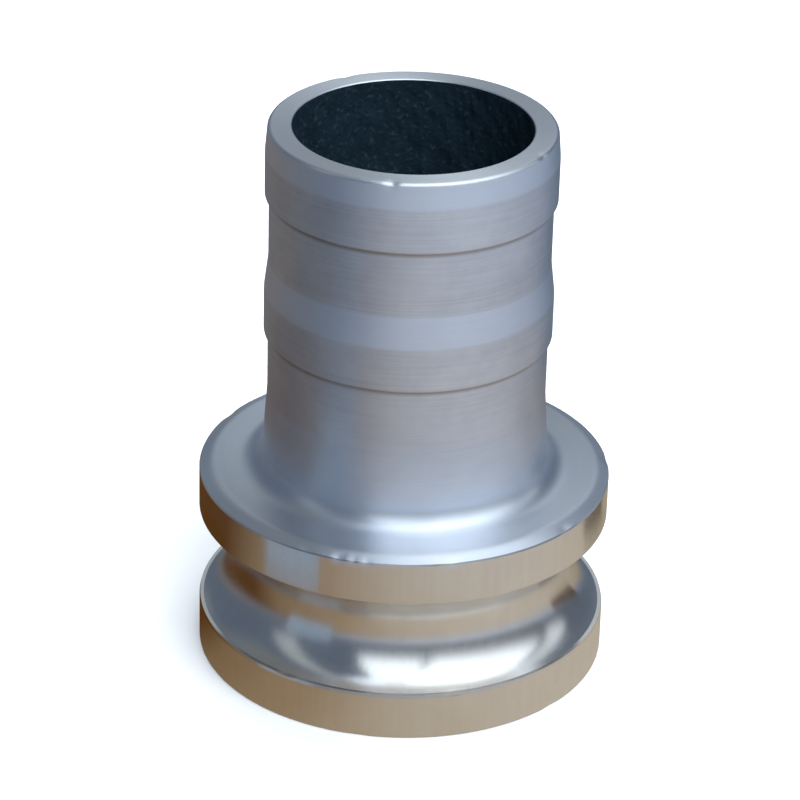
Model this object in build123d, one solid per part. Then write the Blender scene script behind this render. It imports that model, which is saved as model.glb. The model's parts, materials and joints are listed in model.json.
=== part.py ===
from build123d import *
import math
import os

# Camlock hose adapter: the male half of a cam-and-groove coupling, with a hose shank.
# The real adapter is one aluminium casting, turned all over outside and left as cast in
# its waterway, so it is one solid of revolution about Z.
# Millimetres, +Z up. The origin is the centre of the nose face, which the adapter stands on.

# Male head, to the 1 1/4 in cam-and-groove size
head_d = 45.5          # outside of the nose ring and of the collar
nose_ring_h = 5.4      # nose ring, the part that meets the coupler's gasket
collar_z = 16.8        # underside of the collar
collar_h = 5.4
groove_root_d = 37.0   # the cam groove at its deepest
groove_arc_r = 6.2     # section of the cam groove

# Hose shank, for 1 1/4 in hose
total_h = 62.3
barb_d = 31.5          # land of each barb
shank_d = 30.6         # the shank between the barbs
barb_feet = (38.4, 54.4)    # height of each barb's step
barb_land_h = 5.0
barb_taper_h = 3.6
rim_d = 31.0           # mouth of the shank, where the upper barb's taper is cut off
root_d = 31.9          # foot of the shank, where it has thickened into the collar
root_taper_top = 31.3

# Waterway
bore_d = 25.8          # through the shank
nose_bore_d = 31.0     # wider in the head, which keeps the casting's wall even
nose_bore_h = 11.0
bore_z = 20.0          # the two bores are joined by a cone that ends here

# Edges
root_fillet = 2.5      # collar to shank
nose_edge = 0.25       # nose face to nose ring
break_w = 0.09         # narrow steep facet that breaks the upper edge of ring and collar
ring_break_h = 0.35
collar_break_h = 0.2
bevel_w = 1.35         # bevel round the top of the collar
bevel_h = 0.58
bevel_blend = 2.0      # bevel to the collar's flat top
under_edge = 0.1       # lower edge of the collar
rim_edge = 0.45        # outside of the shank's mouth
bore_edge = 0.2        # mouth of the bore
land_edge = 0.22       # lower edge of each barb
step_fillet = 0.2      # tool radius in the corner under each barb
blend_r = 6.0          # soft change of slope along the shank

head_r = head_d / 2
barb_r = barb_d / 2
shank_r = shank_d / 2
root_r = root_d / 2
rim_r = rim_d / 2
bore_r = bore_d / 2
nose_bore_r = nose_bore_d / 2
collar_top = collar_z + collar_h
bevel_foot = collar_top - bevel_h
barb_tops = [foot + barb_land_h for foot in barb_feet]


def groove_arc():
    """Section of the cam groove, from the nose ring up to the collar."""
    centre_r = groove_root_d / 2 + groove_arc_r
    centre_z = (nose_ring_h + collar_z) / 2
    half_h = (collar_z - nose_ring_h) / 2
    mouth_r = centre_r - math.sqrt(groove_arc_r**2 - half_h**2)
    low_end = (mouth_r, nose_ring_h)
    deepest = (groove_root_d / 2, centre_z)
    high_end = (mouth_r, collar_z)
    return ThreePointArc(low_end, deepest, high_end)


def head_outline(arc):
    """Nose ring below the groove, and bevelled collar above it, up to the foot of the shank."""
    nose_ring = Polyline(
        (nose_bore_r, 0),
        (head_r, 0),
        (head_r, nose_ring_h - ring_break_h),
        (head_r - break_w, nose_ring_h),
        arc @ 0,
    )
    collar = Polyline(
        arc @ 1,
        (head_r, collar_z),
        (head_r, bevel_foot - collar_break_h),
        (head_r - break_w, bevel_foot),
        (head_r - bevel_w, collar_top),
        (root_r, collar_top),
    )
    return [nose_ring, collar]


def shank_outline():
    """Outside of the hose shank, from its foot to the mouth, with a step under each barb."""
    lower_foot, upper_foot = barb_feet
    lower_top, upper_top = barb_tops
    return Polyline(
        (root_r, collar_top),
        (shank_r, root_taper_top),
        (shank_r, lower_foot),
        (barb_r, lower_foot),
        (barb_r, lower_top),
        (shank_r, lower_top + barb_taper_h),
        (shank_r, upper_foot),
        (barb_r, upper_foot),
        (barb_r, upper_top),
        (rim_r, total_h),
    )


def waterway_outline():
    """Inside of the adapter, from the mouth of the shank down to the nose face."""
    return Polyline(
        (rim_r, total_h),
        (bore_r, total_h),
        (bore_r, bore_z),
        (nose_bore_r, nose_bore_h),
        (nose_bore_r, 0),
    )


def rounded(section, corners, radius):
    """The section with the named (radius, height) corners rounded."""
    picked = [section.vertices().sort_by_distance(corner)[0] for corner in corners]
    return fillet(picked, radius)


def half_section():
    """Half-section of the adapter, with X as the radius and Y as the height."""
    arc = groove_arc()
    outline = [arc, *head_outline(arc), shank_outline(), waterway_outline()]
    section = make_face(Curve() + outline)
    barb_steps = [(barb_r, foot) for foot in barb_feet]
    inner_steps = [(shank_r, foot) for foot in barb_feet]
    slopes = [(barb_r, top) for top in barb_tops]
    slopes += [(shank_r, barb_tops[0] + barb_taper_h), (shank_r, root_taper_top)]
    section = rounded(section, slopes, blend_r)
    section = rounded(section, [(root_r, collar_top)], root_fillet)
    section = rounded(section, [(head_r, 0)], nose_edge)
    section = rounded(section, [(head_r, collar_z)], under_edge)
    section = rounded(section, [(head_r - bevel_w, collar_top)], bevel_blend)
    section = rounded(section, [(rim_r, total_h)], rim_edge)
    section = rounded(section, [(bore_r, total_h), (nose_bore_r, 0)], bore_edge)
    section = rounded(section, barb_steps, land_edge)
    section = rounded(section, inner_steps, step_fillet)
    return section


def adapter_body():
    """The whole adapter, its half-section turned about Z."""
    upright = Plane.XZ * half_section()
    return revolve(upright, Axis.Z, 360)


os.makedirs("parts", exist_ok=True)
body = adapter_body()
body.label = "adapter_body"
export_step(body, "parts/adapter_body.step")
print("volume mm3", round(body.volume, 1), "height", round(body.bounding_box().size.Z, 3))
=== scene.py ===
import json
import math

import bpy
import numpy as np
from mathutils import Matrix, Vector


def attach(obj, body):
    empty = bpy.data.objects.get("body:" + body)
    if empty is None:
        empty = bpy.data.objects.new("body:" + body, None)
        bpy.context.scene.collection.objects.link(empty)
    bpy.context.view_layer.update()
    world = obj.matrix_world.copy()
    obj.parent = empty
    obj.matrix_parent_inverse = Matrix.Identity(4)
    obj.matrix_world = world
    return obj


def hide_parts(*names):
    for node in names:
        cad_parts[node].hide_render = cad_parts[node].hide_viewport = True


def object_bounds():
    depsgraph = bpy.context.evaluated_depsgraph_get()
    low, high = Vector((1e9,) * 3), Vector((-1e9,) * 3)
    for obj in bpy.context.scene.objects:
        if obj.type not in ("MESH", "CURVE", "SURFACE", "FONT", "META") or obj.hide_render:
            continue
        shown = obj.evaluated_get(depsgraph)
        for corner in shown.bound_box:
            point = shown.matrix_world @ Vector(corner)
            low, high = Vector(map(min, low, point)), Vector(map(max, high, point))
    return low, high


# A camlock hose adapter, turned in aluminium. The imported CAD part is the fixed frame.
# The visible adapter is a fine lathe mesh, spun from the CAD part's own outline, with the
# roughness of its cast waterway and its small nicks worked into the mesh.

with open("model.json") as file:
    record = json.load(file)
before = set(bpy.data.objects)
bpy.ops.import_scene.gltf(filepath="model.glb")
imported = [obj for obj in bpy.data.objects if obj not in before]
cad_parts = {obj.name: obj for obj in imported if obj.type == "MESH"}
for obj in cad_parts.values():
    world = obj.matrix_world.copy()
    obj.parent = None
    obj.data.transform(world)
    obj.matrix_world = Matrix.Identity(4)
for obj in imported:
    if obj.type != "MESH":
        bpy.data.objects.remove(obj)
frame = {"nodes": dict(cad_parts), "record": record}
cad_low, cad_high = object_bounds()

MM = 0.001
NODE = "adapter_body"
MOUNTS = {mount["name"]: mount for mount in frame["record"]["mounts"]}
HEAD_R = (cad_high.x - cad_low.x) / 2
HEIGHT = cad_high.z
COLLAR_EDGE_Z = MOUNTS["male_end"]["dims"]["length_mm"] * MM

# Sizes of the CAD part that the record doesn't hold
RIM_R = 15.4 * MM
NOSE_RING_H = 5.4 * MM
EDGE_BREAK_H = 0.2 * MM
BARB_FEET = (38.4 * MM, 54.4 * MM)
BARB_LAND_H = 5.0 * MM
BARB_TAPER_H = 3.6 * MM


# ---------------------------------------------------------------- camera

# The distance and both points are in head radii, and the lens is in mm
CAMERA_DISTANCE = 17.41 * HEAD_R
CAMERA_ELEVATION = math.radians(26.92)
CAMERA_ROLL = math.radians(1.55)
CAMERA_LENS = 162.2
ORBIT_CENTRE = Vector((0, 0, 1.4 * HEAD_R))
LOOK_AT = Vector((-0.029 * HEAD_R, 0, 1.297 * HEAD_R))


def make_camera():
    """The camera stands in front of the adapter and looks down at it, with a slight roll."""
    data = bpy.data.cameras.new("camera")
    camera = bpy.data.objects.new("camera", data)
    bpy.context.scene.collection.objects.link(camera)
    back = Vector((0, -math.cos(CAMERA_ELEVATION), math.sin(CAMERA_ELEVATION)))
    place = ORBIT_CENTRE + back * CAMERA_DISTANCE
    aim = (LOOK_AT - place).to_track_quat("-Z", "Y").to_matrix().to_4x4()
    roll = Matrix.Rotation(CAMERA_ROLL, 4, "Z")
    camera.matrix_world = Matrix.Translation(place) @ aim @ roll
    data.lens = CAMERA_LENS
    data.clip_start = 0.01
    data.clip_end = 20
    bpy.context.scene.camera = camera


# ---------------------------------------------------------------- lathe mesh

SEGMENTS = 320
RING_STEP = 0.35 * MM
ARC_PIECES = 3
CORNER_MARGIN = 0.03 * MM
MOST_MARGIN = 0.2               # the corner margin's largest share of a straight segment
SHARP_TURN = math.radians(8)
CURVED_TURN = 0.07              # radians between a segment's ends, from which it is an arc
STRAIGHT_TURN = 0.002           # radians, below which it is straight
SEAM_ANGLE = math.radians(90)   # the UV map's seam is at the back
UV_LENGTH = 0.25                # metres along the outline for 1 in the UV map
WAVES = 14                      # sine waves in one smooth noise
CAST_OUT = -0.9                 # the outward normal below which a face is in the waterway


def seam_segments(mesh):
    """The CAD outline's segments in the half-plane y = 0, x > 0: ends and their normals."""
    normals = mesh.corner_normals
    on_seam = [abs(v.co.y) < 1e-7 and v.co.x > 0 for v in mesh.vertices]
    found = {}
    for face in mesh.polygons:
        loops = [i for i in face.loop_indices if on_seam[mesh.loops[i].vertex_index]]
        if len(loops) != 2:
            continue
        ends = []
        for i in loops:
            place = mesh.vertices[mesh.loops[i].vertex_index].co
            normal = normals[i].vector
            ends.append(((round(place.x, 7), round(place.z, 7)), (normal.x, normal.z)))
        key = frozenset(end[0] for end in ends)
        if len(key) == 2:
            found[key] = dict(ends)
    return found


def walk(segments, start):
    """The segments in order round the closed outline, upwards outside from the start."""
    neighbours = {}
    for key in segments:
        for point in key:
            neighbours.setdefault(point, []).append(key)
    path, point, last = [], start, None
    while last is None or point != start:
        choices = [key for key in neighbours[point] if key != last]
        if last is None:
            choices.sort(key=lambda key: max(p[0] for p in key))
        last = choices[-1]
        (after,) = last - {point}
        path.append((point, after, segments[last][point], segments[last][after]))
        point = after
    return path


def hermite(start, end, normal_a, normal_b, share):
    """A point between two outline points, on the curve that their normals ask for."""
    a, b = np.array(start), np.array(end)
    chord = b - a
    tangents = []
    for normal in (normal_a, normal_b):
        tangent = np.array((-normal[1], normal[0]))
        tangent *= math.copysign(1, tangent @ chord)
        tangents.append(tangent / np.linalg.norm(tangent) * np.linalg.norm(chord))
    t = share
    bend = (t**3 - 2 * t**2 + t) * tangents[0] + (t**3 - t**2) * tangents[1]
    return (2 * t**3 - 3 * t**2 + 1) * a + (3 * t**2 - 2 * t**3) * b + bend


def turn_between(normal_a, normal_b):
    """The angle between two normals."""
    return math.acos(min(1.0, normal_a[0] * normal_b[0] + normal_a[1] * normal_b[1]))


def fine_outline(mesh):
    """Closed outline, and which of its rows are sharp corners.

    Each row has the radius, height, normal out, normal up and distance along the outline.
    """
    segments = seam_segments(mesh)
    foot = min((p for key in segments for p in key), key=lambda p: (p[1], p[0]))
    path = walk(segments, foot)
    rows, sharp, run = [], [], 0.0
    for before, (start, end, normal_a, normal_b) in zip(path[-1:] + path[:-1], path):
        length = math.dist(start, end)
        turn = turn_between(normal_a, normal_b)
        sharp.append(turn_between(before[3], normal_a) > SHARP_TURN)
        fewest = ARC_PIECES if turn > CURVED_TURN else 1
        pieces = max(math.ceil(length / RING_STEP), fewest)
        shares = [i / pieces for i in range(pieces)]
        if turn < STRAIGHT_TURN:
            margin = min(MOST_MARGIN, CORNER_MARGIN / length)
            shares = [0, margin, *[t for t in shares if margin < t < 1 - margin], 1 - margin]
        sharp.extend([False] * (len(shares) - 1))
        for t in shares:
            place = hermite(start, end, normal_a, normal_b, t)
            normal = np.array(normal_a) * (1 - t) + np.array(normal_b) * t
            normal /= np.linalg.norm(normal)
            rows.append((*place, *normal, run + t * length))
        run += length
    return np.array(rows), sharp


def smooth_noise(angle, along, scale, most_turns, seed):
    """Sum of sines in angle and distance along the outline, seamless round the axis."""
    random = np.random.default_rng(seed)
    total = np.zeros_like(angle)
    for _ in range(WAVES):
        turns = random.integers(-most_turns, most_turns + 1)
        wave = random.normal(0, 1) / scale
        total += np.sin(turns * angle + wave * along + random.uniform(0, 2 * math.pi))
    return total / math.sqrt(WAVES / 2)


# The edges that have nicks: radius and height
COLLAR_EDGE = (HEAD_R - 0.1 * MM, COLLAR_EDGE_Z + EDGE_BREAK_H)
RIM_EDGE = (RIM_R, HEIGHT)
RING_EDGE = (HEAD_R, NOSE_RING_H)
NOSE_EDGE = (HEAD_R, 0.0)

# Nicks: the edge, degrees round from the front, half-length round, reach and depth in mm
NICKS = [
    (COLLAR_EDGE, -17.0, 0.6, 0.40, 0.14),
    (COLLAR_EDGE, -13.0, 0.4, 0.35, 0.12),
    (COLLAR_EDGE, -9.5, 0.4, 0.35, 0.10),
    (COLLAR_EDGE, -27.0, 0.6, 0.40, 0.08),
    (COLLAR_EDGE, 14.0, 0.6, 0.40, 0.08),
    (COLLAR_EDGE, 51.0, 0.7, 0.50, 0.10),
    (COLLAR_EDGE, 96.0, 0.9, 0.50, 0.12),
    (COLLAR_EDGE, -118.0, 1.1, 0.55, 0.14),
    (COLLAR_EDGE, 160.0, 0.8, 0.50, 0.12),
    (RIM_EDGE, -7.5, 0.55, 0.50, 0.14),
    (RIM_EDGE, 62.0, 0.6, 0.45, 0.10),
    (RIM_EDGE, -150.0, 0.8, 0.50, 0.12),
    (RING_EDGE, -33.0, 0.7, 0.45, 0.10),
    (RING_EDGE, 15.0, 0.6, 0.40, 0.06),
    (RING_EDGE, 140.0, 0.9, 0.45, 0.12),
    (NOSE_EDGE, -11.0, 0.8, 0.40, 0.10),
    (NOSE_EDGE, 48.0, 0.9, 0.45, 0.10),
    (NOSE_EDGE, -170.0, 1.1, 0.50, 0.12),
]


# Roughness of the cast waterway: depth, scale along the outline, most waves round the axis, seed.
# Towards a mouth it fades out over ROUGH_FADE, and it ends ROUGH_LAG of that short of the mouth.
ROUGHNESS = [
    (0.045 * MM, 0.9 * MM, 90, 3),
    (0.05 * MM, 3 * MM, 30, 4),
]
ROUGH_FADE, ROUGH_LAG = 1.2 * MM, 0.3


def nick_depth(angle, radius, height):
    """How far the surface is dented at each vertex, in metres."""
    depth = np.zeros_like(angle)
    for (edge_r, edge_z), around, half_long, reach, deep in NICKS:
        centre = math.radians(around - 90)
        gap = (angle - centre + math.pi) % (2 * math.pi) - math.pi
        across = gap * radius / (half_long * MM)
        away = ((radius - edge_r) ** 2 + (height - edge_z) ** 2) / (reach * MM) ** 2
        depth += deep * MM * np.exp(-(across**2) - away)
    return depth


def make_adapter(mesh):
    """The visible adapter, spun round the axis from the CAD outline."""
    rows, sharp = fine_outline(mesh)
    radius, height, out, up, along = rows.T
    angles = SEAM_ANGLE + np.arange(SEGMENTS) * 2 * math.pi / SEGMENTS
    angle, ring = np.meshgrid(angles, np.arange(len(rows)), indexing="ij")
    r, z, n_out, n_up, run = radius[ring], height[ring], out[ring], up[ring], along[ring]
    cast = n_out < CAST_OUT
    fade = np.clip(np.minimum(z, HEIGHT - z) / ROUGH_FADE - ROUGH_LAG, 0, 1)
    rough = np.zeros_like(angle)
    for depth, scale, most_turns, seed in ROUGHNESS:
        rough += depth * smooth_noise(angle, run, scale, most_turns, seed)
    shift = np.where(cast, rough * fade, -nick_depth(angle, r, z))
    r = r + shift * n_out
    above_foot = z > 1e-6
    z = np.clip(z + shift * n_up * above_foot, 0, HEIGHT)
    places = np.stack([r * np.cos(angle), r * np.sin(angle), z], -1).reshape(-1, 3)
    return places, rows, sharp


def lathe_object(name, mesh, materials):
    """Quads between neighbouring rings and segments, with the distance along in the UV map."""
    places, rows, sharp = make_adapter(mesh)
    count = len(rows)
    faces, uvs, slots = [], [], []
    total = rows[-1, 4] + math.dist(rows[-1, :2], rows[0, :2])
    runs = np.append(rows[:, 4], total)
    ring_slots = [slot_of(rows[i], rows[(i + 1) % count]) for i in range(count)]
    for s in range(SEGMENTS):
        t = (s + 1) % SEGMENTS
        for i in range(count):
            j = (i + 1) % count
            faces.append((s * count + i, t * count + i, t * count + j, s * count + j))
            u0, u1 = s / SEGMENTS, (s + 1) / SEGMENTS
            v0, v1 = runs[i] / UV_LENGTH, runs[i + 1] / UV_LENGTH
            uvs.extend((u0, v0, u1, v0, u1, v1, u0, v1))
            slots.append(ring_slots[i])
    data = bpy.data.meshes.new(name)
    data.from_pydata(places.tolist(), [], faces)
    layer = data.uv_layers.new(name="lathe")
    layer.data.foreach_set("uv", uvs)
    for material in materials:
        data.materials.append(material)
    data.polygons.foreach_set("material_index", slots)
    data.polygons.foreach_set("use_smooth", [True] * len(faces))
    data.update(calc_edges=True)
    for edge in data.edges:
        a, b = (vertex % count for vertex in edge.vertices)
        edge.use_edge_sharp = a == b and sharp[a]
    obj = bpy.data.objects.new(name, data)
    bpy.context.scene.collection.objects.link(obj)
    return obj


SHANK, HEAD, BORE = range(3)


def slot_of(row, after):
    """Which finish a ring of faces has: satin shank, bright head or cast bore."""
    out = (row[2] + after[2]) / 2
    height = (row[1] + after[1]) / 2
    if out < CAST_OUT:
        return BORE
    return HEAD if height < COLLAR_EDGE_Z + EDGE_BREAK_H else SHANK


# ---------------------------------------------------------------- materials


# Painted reflections and painted shade on the shank by height: colour, and its largest share
# painted reflection: the collar's top and the lower shank, cooler and brighter
FACE_REFLECTION_TONE, FACE_REFLECTION_SHARE = (0.81, 0.865, 0.955, 1), 0.75
# painted reflection: the rim's top face, brighter
RIM_REFLECTION_TONE = (0.98, 0.99, 1.0, 1)
# painted reflection: the barbs' tapers, cooler and brighter
TAPER_REFLECTION_TONE, TAPER_REFLECTION_SHARE = (0.87, 0.90, 0.955, 1), 0.7
# painted shade: dark brown under each barb's step
CORNER_SHADE_TONE, CORNER_SHADE_SHARE = (0.36, 0.29, 0.24, 1), 0.75

FACE_REFLECTION_Z = COLLAR_EDGE_Z + 2.5 * MM      # above it, the collar top's painted reflection fades out
RIM_REFLECTION_Z, RIM_REFLECTION_SOFT = HEIGHT - 0.3 * MM, 0.2 * MM
CORNER_SHADE_BELOW = 0.42 * MM                    # painted shade under a barb's step, and just above it
CORNER_SHADE_ABOVE = 0.12 * MM
BAND_SOFT = 0.25 * MM


class Graph:
    """A node tree, with short ways to add and join nodes."""

    def __init__(self, tree):
        self.tree = tree

    def add(self, kind, inputs=(), **settings):
        node = self.tree.nodes.new(kind)
        for name, value in settings.items():
            setattr(node, name, value)
        for socket, value in dict(inputs).items():
            self.put(node.inputs[socket], value)
        return node

    def put(self, socket, value):
        if isinstance(value, bpy.types.NodeSocket):
            self.tree.links.new(value, socket)
        else:
            socket.default_value = value

    def math(self, operation, a, b=0.0, c=0.0):
        return self.add("ShaderNodeMath", {0: a, 1: b, 2: c}, operation=operation).outputs[0]

    def noise(self, vector, scale, detail=2.0, roughness=0.5):
        inputs = {"Vector": vector, "Scale": scale, "Detail": detail, "Roughness": roughness}
        return self.add("ShaderNodeTexNoise", inputs).outputs["Fac"]

    def remap(self, value, low, high, new_low, new_high):
        inputs = {0: value, 1: low, 2: high, 3: new_low, 4: new_high}
        return self.add("ShaderNodeMapRange", inputs).outputs[0]

    def mix(self, share, a, b):
        node = self.add("ShaderNodeMix", data_type="RGBA")
        self.put(node.inputs[0], share)
        self.put(node.inputs[6], a)
        self.put(node.inputs[7], b)
        return node.outputs[2]


def new_material(name):
    """A new material, and its graph and shader."""
    material = bpy.data.materials.new(name)
    material.use_nodes = True
    graph = Graph(material.node_tree)
    return material, graph, material.node_tree.nodes["Principled BSDF"]


def lathe_coordinates(graph):
    """Object position, direction round the axis, and distance along the outline in mm."""
    place = graph.add("ShaderNodeTexCoord").outputs["Object"]
    flat = graph.add("ShaderNodeVectorMath", {0: place, 1: (1, 1, 0)}, operation="MULTIPLY")
    around = graph.add("ShaderNodeVectorMath", {0: flat.outputs[0]}, operation="NORMALIZE")
    uv = graph.add("ShaderNodeUVMap", uv_map="lathe").outputs[0]
    split = graph.add("ShaderNodeSeparateXYZ", {0: uv})
    along = graph.math("MULTIPLY", split.outputs[1], UV_LENGTH / MM)
    return place, around.outputs[0], along


def ring_vector(graph, around, along, around_scale, per_mm):
    """A noise vector that changes per_mm along the outline and slowly round the axis."""
    scaled = graph.add("ShaderNodeVectorMath", {0: around}, operation="SCALE")
    scaled.inputs["Scale"].default_value = around_scale
    split = graph.add("ShaderNodeSeparateXYZ", {0: scaled.outputs[0]})
    run = graph.math("MULTIPLY", along, per_mm)
    joined = graph.add("ShaderNodeCombineXYZ", {0: split.outputs[0], 1: split.outputs[1], 2: run})
    return joined.outputs[0]


def band(graph, height, low, high, soft):
    """1 between two heights in metres, and 0 elsewhere, with soft ends."""
    above = soft_step(graph, height, low, soft)
    below = soft_step(graph, height, high, soft)
    return graph.math("SUBTRACT", above, below)


def shank_painted_light(graph, place, colour):
    """Tones of the satin metal by height.

    The collar's top and the shank above it, the rim and the tapers are painted cooler and brighter
    than the rest of the shank as painted reflections, and the corners under the barbs hold painted
    shade.
    """
    height = graph.add("ShaderNodeSeparateXYZ", {0: place}).outputs[2]
    # painted reflection: the collar's top and the shank above it, fading out up to the lower barb
    low = graph.remap(height, FACE_REFLECTION_Z, BARB_FEET[0], 1.0, 0.0)
    # painted reflection on the rim's top face
    rim_reflection = soft_step(graph, height, RIM_REFLECTION_Z, RIM_REFLECTION_SOFT)
    colour = graph.mix(graph.math("MULTIPLY", low, FACE_REFLECTION_SHARE), colour, FACE_REFLECTION_TONE)
    colour = graph.mix(rim_reflection, colour, RIM_REFLECTION_TONE)
    for foot in BARB_FEET:
        top = foot + BARB_LAND_H
        # painted reflection on each barb's taper
        taper_reflection = band(graph, height, top, top + BARB_TAPER_H, BAND_SOFT)
        colour = graph.mix(graph.math("MULTIPLY", taper_reflection, TAPER_REFLECTION_SHARE), colour, TAPER_REFLECTION_TONE)
        # painted shade under each barb's step, and just above it
        corner = band(graph, height, foot - CORNER_SHADE_BELOW, foot + CORNER_SHADE_ABOVE, BAND_SOFT)
        colour = graph.mix(graph.math("MULTIPLY", corner, CORNER_SHADE_SHARE), colour, CORNER_SHADE_TONE)
    return colour


def turned_metal(
    name,
    light,
    dark,
    roughness,
    spread,
    anisotropy,
    ring_depth,
    streak_depth,
    streak_share,
    finish=None,
):
    """Aluminium turned on a lathe: fine rings, faint streaks across them and soft mottling.

    The depths are in mm, and streak_share is the streaks' part in the colour.
    """
    material, graph, shader = new_material(name)
    place, around, along = lathe_coordinates(graph)
    fine = graph.noise(ring_vector(graph, around, along, 1.2, 5.0), 1.0, 3.0)
    broad = graph.noise(ring_vector(graph, around, along, 0.6, 0.9), 1.0, 2.0)
    streaks = graph.noise(ring_vector(graph, around, along, 28.0, 0.06), 1.0, 3.0, 0.6)
    blotch = graph.noise(place, 160.0, 4.0, 0.6)
    grain = graph.noise(place, 2600.0, 2.0)
    lines = graph.math("MULTIPLY", streaks, streak_share)
    lines = graph.math("MULTIPLY_ADD", fine, 0.4 - streak_share, lines)
    tone = graph.math("MULTIPLY_ADD", blotch, 0.6, lines)
    colour = graph.mix(graph.remap(tone, 0.35, 0.65, 0.0, 1.0), dark, light)
    # finish paints reflections and shade onto the colour by height
    if finish:
        colour = finish(graph, place, colour)
    uneven = graph.math("MULTIPLY_ADD", broad, 0.5, graph.math("MULTIPLY", grain, 0.5))
    rough = graph.remap(uneven, 0.3, 0.7, roughness - spread, roughness + spread)
    relief = graph.math("MULTIPLY_ADD", broad, 0.4, graph.math("MULTIPLY", fine, 0.5))
    relief = graph.math("MULTIPLY", relief, ring_depth)
    relief = graph.math("MULTIPLY_ADD", streaks, streak_depth, relief)
    relief = graph.math("MULTIPLY_ADD", grain, 0.12 * ring_depth, relief)
    bump = graph.add("ShaderNodeBump", {"Height": relief, "Strength": 1.0, "Distance": MM})
    tangent = graph.add("ShaderNodeTangent", direction_type="RADIAL", axis="Z")
    graph.put(shader.inputs["Base Color"], colour)
    graph.put(shader.inputs["Roughness"], rough)
    graph.put(shader.inputs["Normal"], bump.outputs[0])
    graph.put(shader.inputs["Tangent"], tangent.outputs[0])
    shader.inputs["Metallic"].default_value = 1.0
    shader.inputs["Anisotropic"].default_value = anisotropy
    shader.inputs["Anisotropic Rotation"].default_value = 0.25
    return material


def cast_metal(name):
    """The as-cast waterway: dark, dull and grainy."""
    material, graph, shader = new_material(name)
    place = graph.add("ShaderNodeTexCoord").outputs["Object"]
    coarse = graph.noise(place, 420.0, 5.0, 0.62)
    fine = graph.noise(place, 1700.0, 3.0)
    speck = graph.remap(fine, 0.56, 0.72, 0.0, 0.6)
    colour = graph.mix(coarse, (0.003, 0.0085, 0.0145, 1), (0.011, 0.026, 0.041, 1))
    colour = graph.mix(speck, colour, (0.03, 0.06, 0.075, 1))
    relief = graph.math("MULTIPLY_ADD", fine, 0.25, coarse)
    bump = graph.add("ShaderNodeBump", {"Height": relief, "Strength": 0.9, "Distance": 0.35 * MM})
    graph.put(shader.inputs["Base Color"], colour)
    graph.put(shader.inputs["Roughness"], graph.remap(coarse, 0.3, 0.7, 0.62, 0.85))
    graph.put(shader.inputs["Normal"], bump.outputs[0])
    shader.inputs["Metallic"].default_value = 0.0
    shader.inputs["Specular IOR Level"].default_value = 0.25
    return material


def floor_paint(name):
    """Pale studio paper."""
    material, graph, shader = new_material(name)
    place = graph.add("ShaderNodeTexCoord").outputs["Object"]
    tooth = graph.noise(place, 900.0, 2.0)
    colour = graph.mix(tooth, (0.86, 0.86, 0.86, 1), (0.88, 0.88, 0.88, 1))
    graph.put(shader.inputs["Base Color"], colour)
    shader.inputs["Roughness"].default_value = 0.9
    shader.inputs["Specular IOR Level"].default_value = 0.1
    return material


# ---------------------------------------------------------------- studio
# Azimuth 0 is the camera's side, and azimuth grows to the camera's right.


FLOOR_HALF = 3.0
TABLE_Z = -0.2 * MM             # the mirrored table lies just under the floor


def level_square(height):
    """Corners of a level square about the axis, as wide as the floor."""
    half = FLOOR_HALF
    return [(-half, -half, height), (half, -half, height), (half, half, height), (-half, half, height)]


def make_floor():
    """A wide pale floor, which the polished metal doesn't mirror."""
    data = bpy.data.meshes.new("floor")
    data.from_pydata(level_square(0), [], [(0, 1, 2, 3)])
    data.materials.append(floor_paint("floor_paper"))
    floor = bpy.data.objects.new("floor", data)
    bpy.context.scene.collection.objects.link(floor)
    floor.visible_glossy = False


def direction(azimuth, elevation=0.0):
    """The unit vector that points out at an azimuth and elevation in degrees."""
    a, e = math.radians(azimuth), math.radians(elevation)
    return Vector((math.sin(a) * math.cos(e), -math.cos(a) * math.cos(e), math.sin(e)))


# Lamps: azimuth, elevation, distance, width and height in metres, watts and colour
LAMPS = [
    ("key_light", 28, 50, 1.0, 0.8, 0.5, 9.0, (0.94, 0.97, 1.0)),
    ("top_light", 170, 62, 1.0, 0.9, 0.7, 9.0, (0.90, 0.95, 1.0)),
]


def soft_box(name, azimuth, elevation, distance, width, height, power, colour):
    """A rectangular lamp that faces the adapter.

    The metal doesn't mirror it: it mirrors the world's windows instead.
    """
    data = bpy.data.lights.new(name, "AREA")
    data.shape = "RECTANGLE"
    data.size, data.size_y = width, height
    data.energy = power
    data.color = colour
    lamp = bpy.data.objects.new(name, data)
    bpy.context.scene.collection.objects.link(lamp)
    away = direction(azimuth, elevation)
    centre = Vector((0, 0, HEIGHT / 2))
    facing = away.to_track_quat("Z", "Y").to_matrix().to_4x4()
    lamp.matrix_world = Matrix.Translation(centre + away * distance) @ facing
    lamp.visible_glossy = False


# What the metal mirrors of the table: a warm board close round the adapter, a cool sheet
# beyond it and a brighter one further off. Each has the azimuth of its bright side, and
# colours by the cosine of the angle away from that side.
BOARD_EDGE, BOARD_SOFT = 74 * MM, 3 * MM
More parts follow.
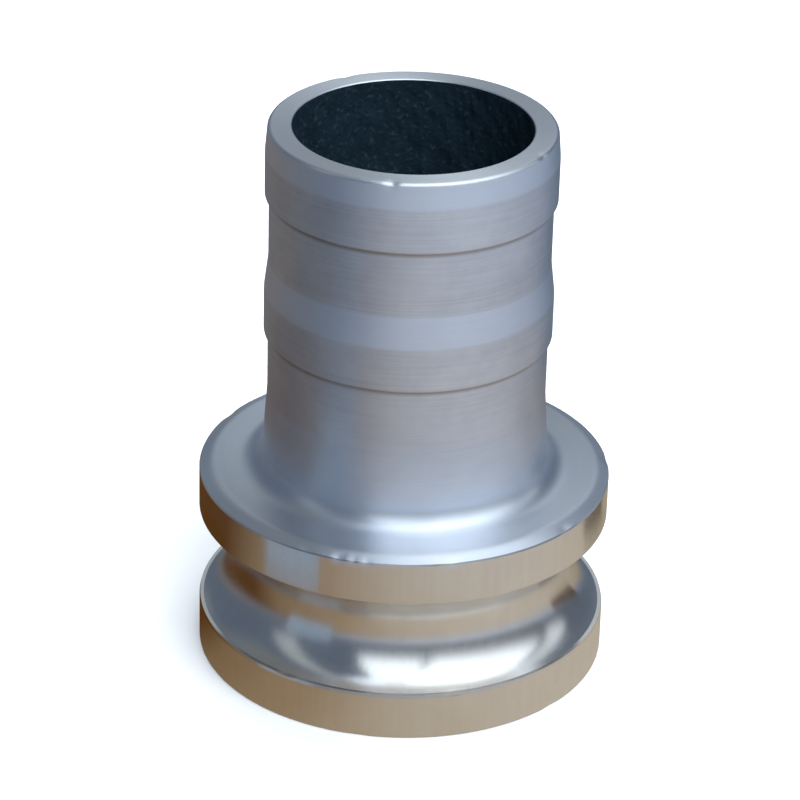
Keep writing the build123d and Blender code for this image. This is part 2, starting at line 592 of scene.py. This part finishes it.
# painted shadow: the board's dark brown side is the adapter's own shadow on the table
BOARD = (60, [
    (-0.90, (0.09, 0.035, 0.004, 1)),
    (-0.66, (0.21, 0.14, 0.075, 1)),
    (-0.04, (0.30, 0.215, 0.13, 1)),
    (0.50, (0.43, 0.372, 0.285, 1)),
    (1.00, (0.52, 0.462, 0.39, 1)),
])
SHEET = (42, [
    (-1.00, (0.175, 0.165, 0.165, 1)),
    (-0.41, (0.12, 0.15, 0.195, 1)),
    (0.00, (0.17, 0.215, 0.29, 1)),
    (0.21, (0.23, 0.255, 0.32, 1)),
    (0.59, (0.365, 0.395, 0.47, 1)),
    (1.00, (0.455, 0.51, 0.62, 1)),
])
FAR_EDGE, FAR_SOFT = 165 * MM, 25 * MM
FAR = (42, [
    (-1.00, (0.19, 0.18, 0.18, 1)),
    (-0.20, (0.15, 0.20, 0.28, 1)),
    (0.30, (0.36, 0.44, 0.58, 1)),
    (1.00, (0.60, 0.72, 0.93, 1)),
])
SKY = (60, [(0.0, (0.10, 0.13, 0.18, 1)), (1.0, (0.12, 0.135, 0.16, 1))])

# The bright ceiling light: colour, azimuth and elevation of its middle, and the cosine of the
# angle from its middle to the middle of its soft edge, with the edge's half-width as a cosine
ZENITH = (2.6, 3.0, 3.5, 1)
OVERHEAD_WAY = (95, 80)
OVERHEAD_EDGE, OVERHEAD_SOFT = 0.917, 0.079

# Windows: azimuth of the middle, half-width, lowest elevation and height of the soft sill in
# degrees, and radiance
WINDOWS = [
    (-5, 20, 14, 30, 1.5),
    (60, 38, 12, 30, 1.5),
    (56, 38, 40, 24, 2.1),
    (125, 24, 48, 20, 1.2),
    (113, 6, 5, 18, 0.8),
    (172, 16, 14, 20, 0.75),
    (-165, 16, 14, 20, 0.38),
    (-78, 7, 8, 20, 0.45),
    (226, 28, 30, 22, 0.2),
]
WINDOW_TINT = (0.84, 0.93, 1.0)
WINDOW_INSIDE, WINDOW_OUTSIDE = 3, 5        # degrees of soft edge, each side of the half-width


def soft_step(graph, value, middle, half):
    """Rises smoothly from 0 to 1 about the middle."""
    inputs = {0: value, 1: middle - half, 2: middle + half}
    return graph.add("ShaderNodeMapRange", inputs, interpolation_type="SMOOTHSTEP").outputs[0]


def level_direction(graph, vector):
    """The vector laid flat and scaled to length 1, and its length when flat."""
    inputs = {0: vector, 1: (1, 1, 0)}
    flat = graph.add("ShaderNodeVectorMath", inputs, operation="MULTIPLY").outputs[0]
    level = graph.add("ShaderNodeVectorMath", {0: flat}, operation="NORMALIZE").outputs[0]
    length = graph.add("ShaderNodeVectorMath", {0: flat}, operation="LENGTH").outputs["Value"]
    return level, length


def toward(graph, level, azimuth):
    """Cosine of the angle between a level direction and an azimuth."""
    inputs = {0: level, 1: direction(azimuth)}
    return graph.add("ShaderNodeVectorMath", inputs, operation="DOT_PRODUCT").outputs["Value"]


def side_colours(graph, level, sides):
    """A colour that changes from the bright side round to the dim side."""
    azimuth, colours = sides
    share = graph.remap(toward(graph, level, azimuth), -1, 1, 0, 1)
    ramp = graph.add("ShaderNodeValToRGB", {0: share})
    stops = ramp.color_ramp.elements
    while len(stops) < len(colours):
        stops.new(0.5)
    for stop, (cosine, colour) in zip(stops, colours):
        stop.position, stop.color = (cosine + 1) / 2, colour
    return ramp.outputs[0]


def make_world():
    """Surroundings above the table: a dim room, bright cool windows and a ceiling light."""
    world = bpy.data.worlds.new("studio")
    bpy.context.scene.world = world
    world.use_nodes = True
    graph = Graph(world.node_tree)
    way = graph.add("ShaderNodeTexCoord").outputs["Generated"]
    rise = graph.add("ShaderNodeSeparateXYZ", {0: way}).outputs[2]
    elevation = graph.math("MULTIPLY", graph.math("ARCSINE", rise), 180 / math.pi)
    level = level_direction(graph, way)[0]
    colour = side_colours(graph, level, SKY)
    inputs = {0: way, 1: direction(*OVERHEAD_WAY)}
    dot = graph.add("ShaderNodeVectorMath", inputs, operation="DOT_PRODUCT").outputs["Value"]
    overhead = soft_step(graph, dot, OVERHEAD_EDGE, OVERHEAD_SOFT)
    colour = graph.mix(overhead, colour, ZENITH)
    for middle, half, lowest, sill, radiance in WINDOWS:
        inner = math.cos(math.radians(half - WINDOW_INSIDE))
        outer = math.cos(math.radians(half + WINDOW_OUTSIDE))
        cosine = toward(graph, level, middle)
        across = soft_step(graph, cosine, (inner + outer) / 2, (inner - outer) / 2)
        up = soft_step(graph, elevation, lowest + sill / 2, sill / 2)
        pane = graph.math("MULTIPLY", across, up)
        glow = [part * radiance for part in WINDOW_TINT]
        colour = graph.mix(pane, colour, (*glow, 1))
    background = world.node_tree.nodes["Background"]
    graph.put(background.inputs["Color"], colour)


def mirrored_only(name, corners, material):
    """A glowing sheet that the metal mirrors, and that the camera doesn't see."""
    data = bpy.data.meshes.new(name)
    data.from_pydata([tuple(corner) for corner in corners], [], [(0, 1, 2, 3)])
    data.materials.append(material)
    sheet = bpy.data.objects.new(name, data)
    bpy.context.scene.collection.objects.link(sheet)
    sheet.visible_camera = False
    sheet.visible_diffuse = False
    sheet.visible_shadow = False


def glow_material(name):
    """A material that only glows, with its graph and shader."""
    material, graph, shader = new_material(name)
    shader.inputs["Base Color"].default_value = (0, 0, 0, 1)
    shader.inputs["Specular IOR Level"].default_value = 0.0
    shader.inputs["Emission Strength"].default_value = 1.0
    material.cycles.emission_sampling = "NONE"
    return material, graph, shader


def make_mirrored_table():
    """The table as the metal mirrors it."""
    material, graph, shader = glow_material("mirrored_table_glow")
    place = graph.add("ShaderNodeTexCoord").outputs["Object"]
    level, length = level_direction(graph, place)
    board = side_colours(graph, level, BOARD)
    past_board = soft_step(graph, length, BOARD_EDGE, BOARD_SOFT)
    near = graph.mix(past_board, board, side_colours(graph, level, SHEET))
    past_sheet = soft_step(graph, length, FAR_EDGE, FAR_SOFT)
    colour = graph.mix(past_sheet, near, side_colours(graph, level, FAR))
    graph.put(shader.inputs["Emission Color"], colour)
    mirrored_only("mirrored_table", level_square(TABLE_Z), material)


# Small cards that only the metal mirrors: azimuth of the place, azimuth that the card faces
# away from, millimetres beyond the head, half-width, height and colour
CARDS = [
    ("cool_card", -50, -50, 26, 12, 15, (0.25, 0.325, 0.42, 1)),
    ("dark_card", 109, 120, 24.5, 10, 7, (0.085, 0.055, 0.03, 1)),
]


def make_card(name, azimuth, facing, gap, half_width, height, colour):
    """An upright card beside the adapter."""
    material, _, shader = glow_material(name + "_glow")
    shader.inputs["Emission Color"].default_value = colour
    middle = direction(azimuth) * (HEAD_R + gap * MM)
    across = direction(facing + 90) * half_width * MM
    top = Vector((0, 0, height * MM))
    corners = [middle - across, middle + across, middle + across + top, middle - across + top]
    mirrored_only(name, corners, material)


make_camera()
make_world()
make_floor()
make_mirrored_table()
for card in CARDS:
    make_card(*card)
for lamp in LAMPS:
    soft_box(*lamp)

satin = turned_metal(
    "satin_turned",
    light=(0.84, 0.83, 0.83, 1),
    dark=(0.68, 0.67, 0.68, 1),
    roughness=0.38,
    spread=0.04,
    anisotropy=0.75,
    ring_depth=0.006,
    streak_depth=0.0006,
    streak_share=0.06,
    finish=shank_painted_light,
)
bright = turned_metal(
    "bright_turned",
    light=(0.90, 0.89, 0.87, 1),
    dark=(0.84, 0.82, 0.79, 1),
    roughness=0.21,
    spread=0.035,
    anisotropy=0.8,
    ring_depth=0.003,
    streak_depth=0.005,
    streak_share=0.3,
)
cast = cast_metal("cast_bore")

adapter = lathe_object("turned_adapter", frame["nodes"][NODE].data, [satin, bright, cast])
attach(adapter, "root")
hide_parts(NODE)

scene = bpy.context.scene
scene.view_settings.view_transform = "Standard"
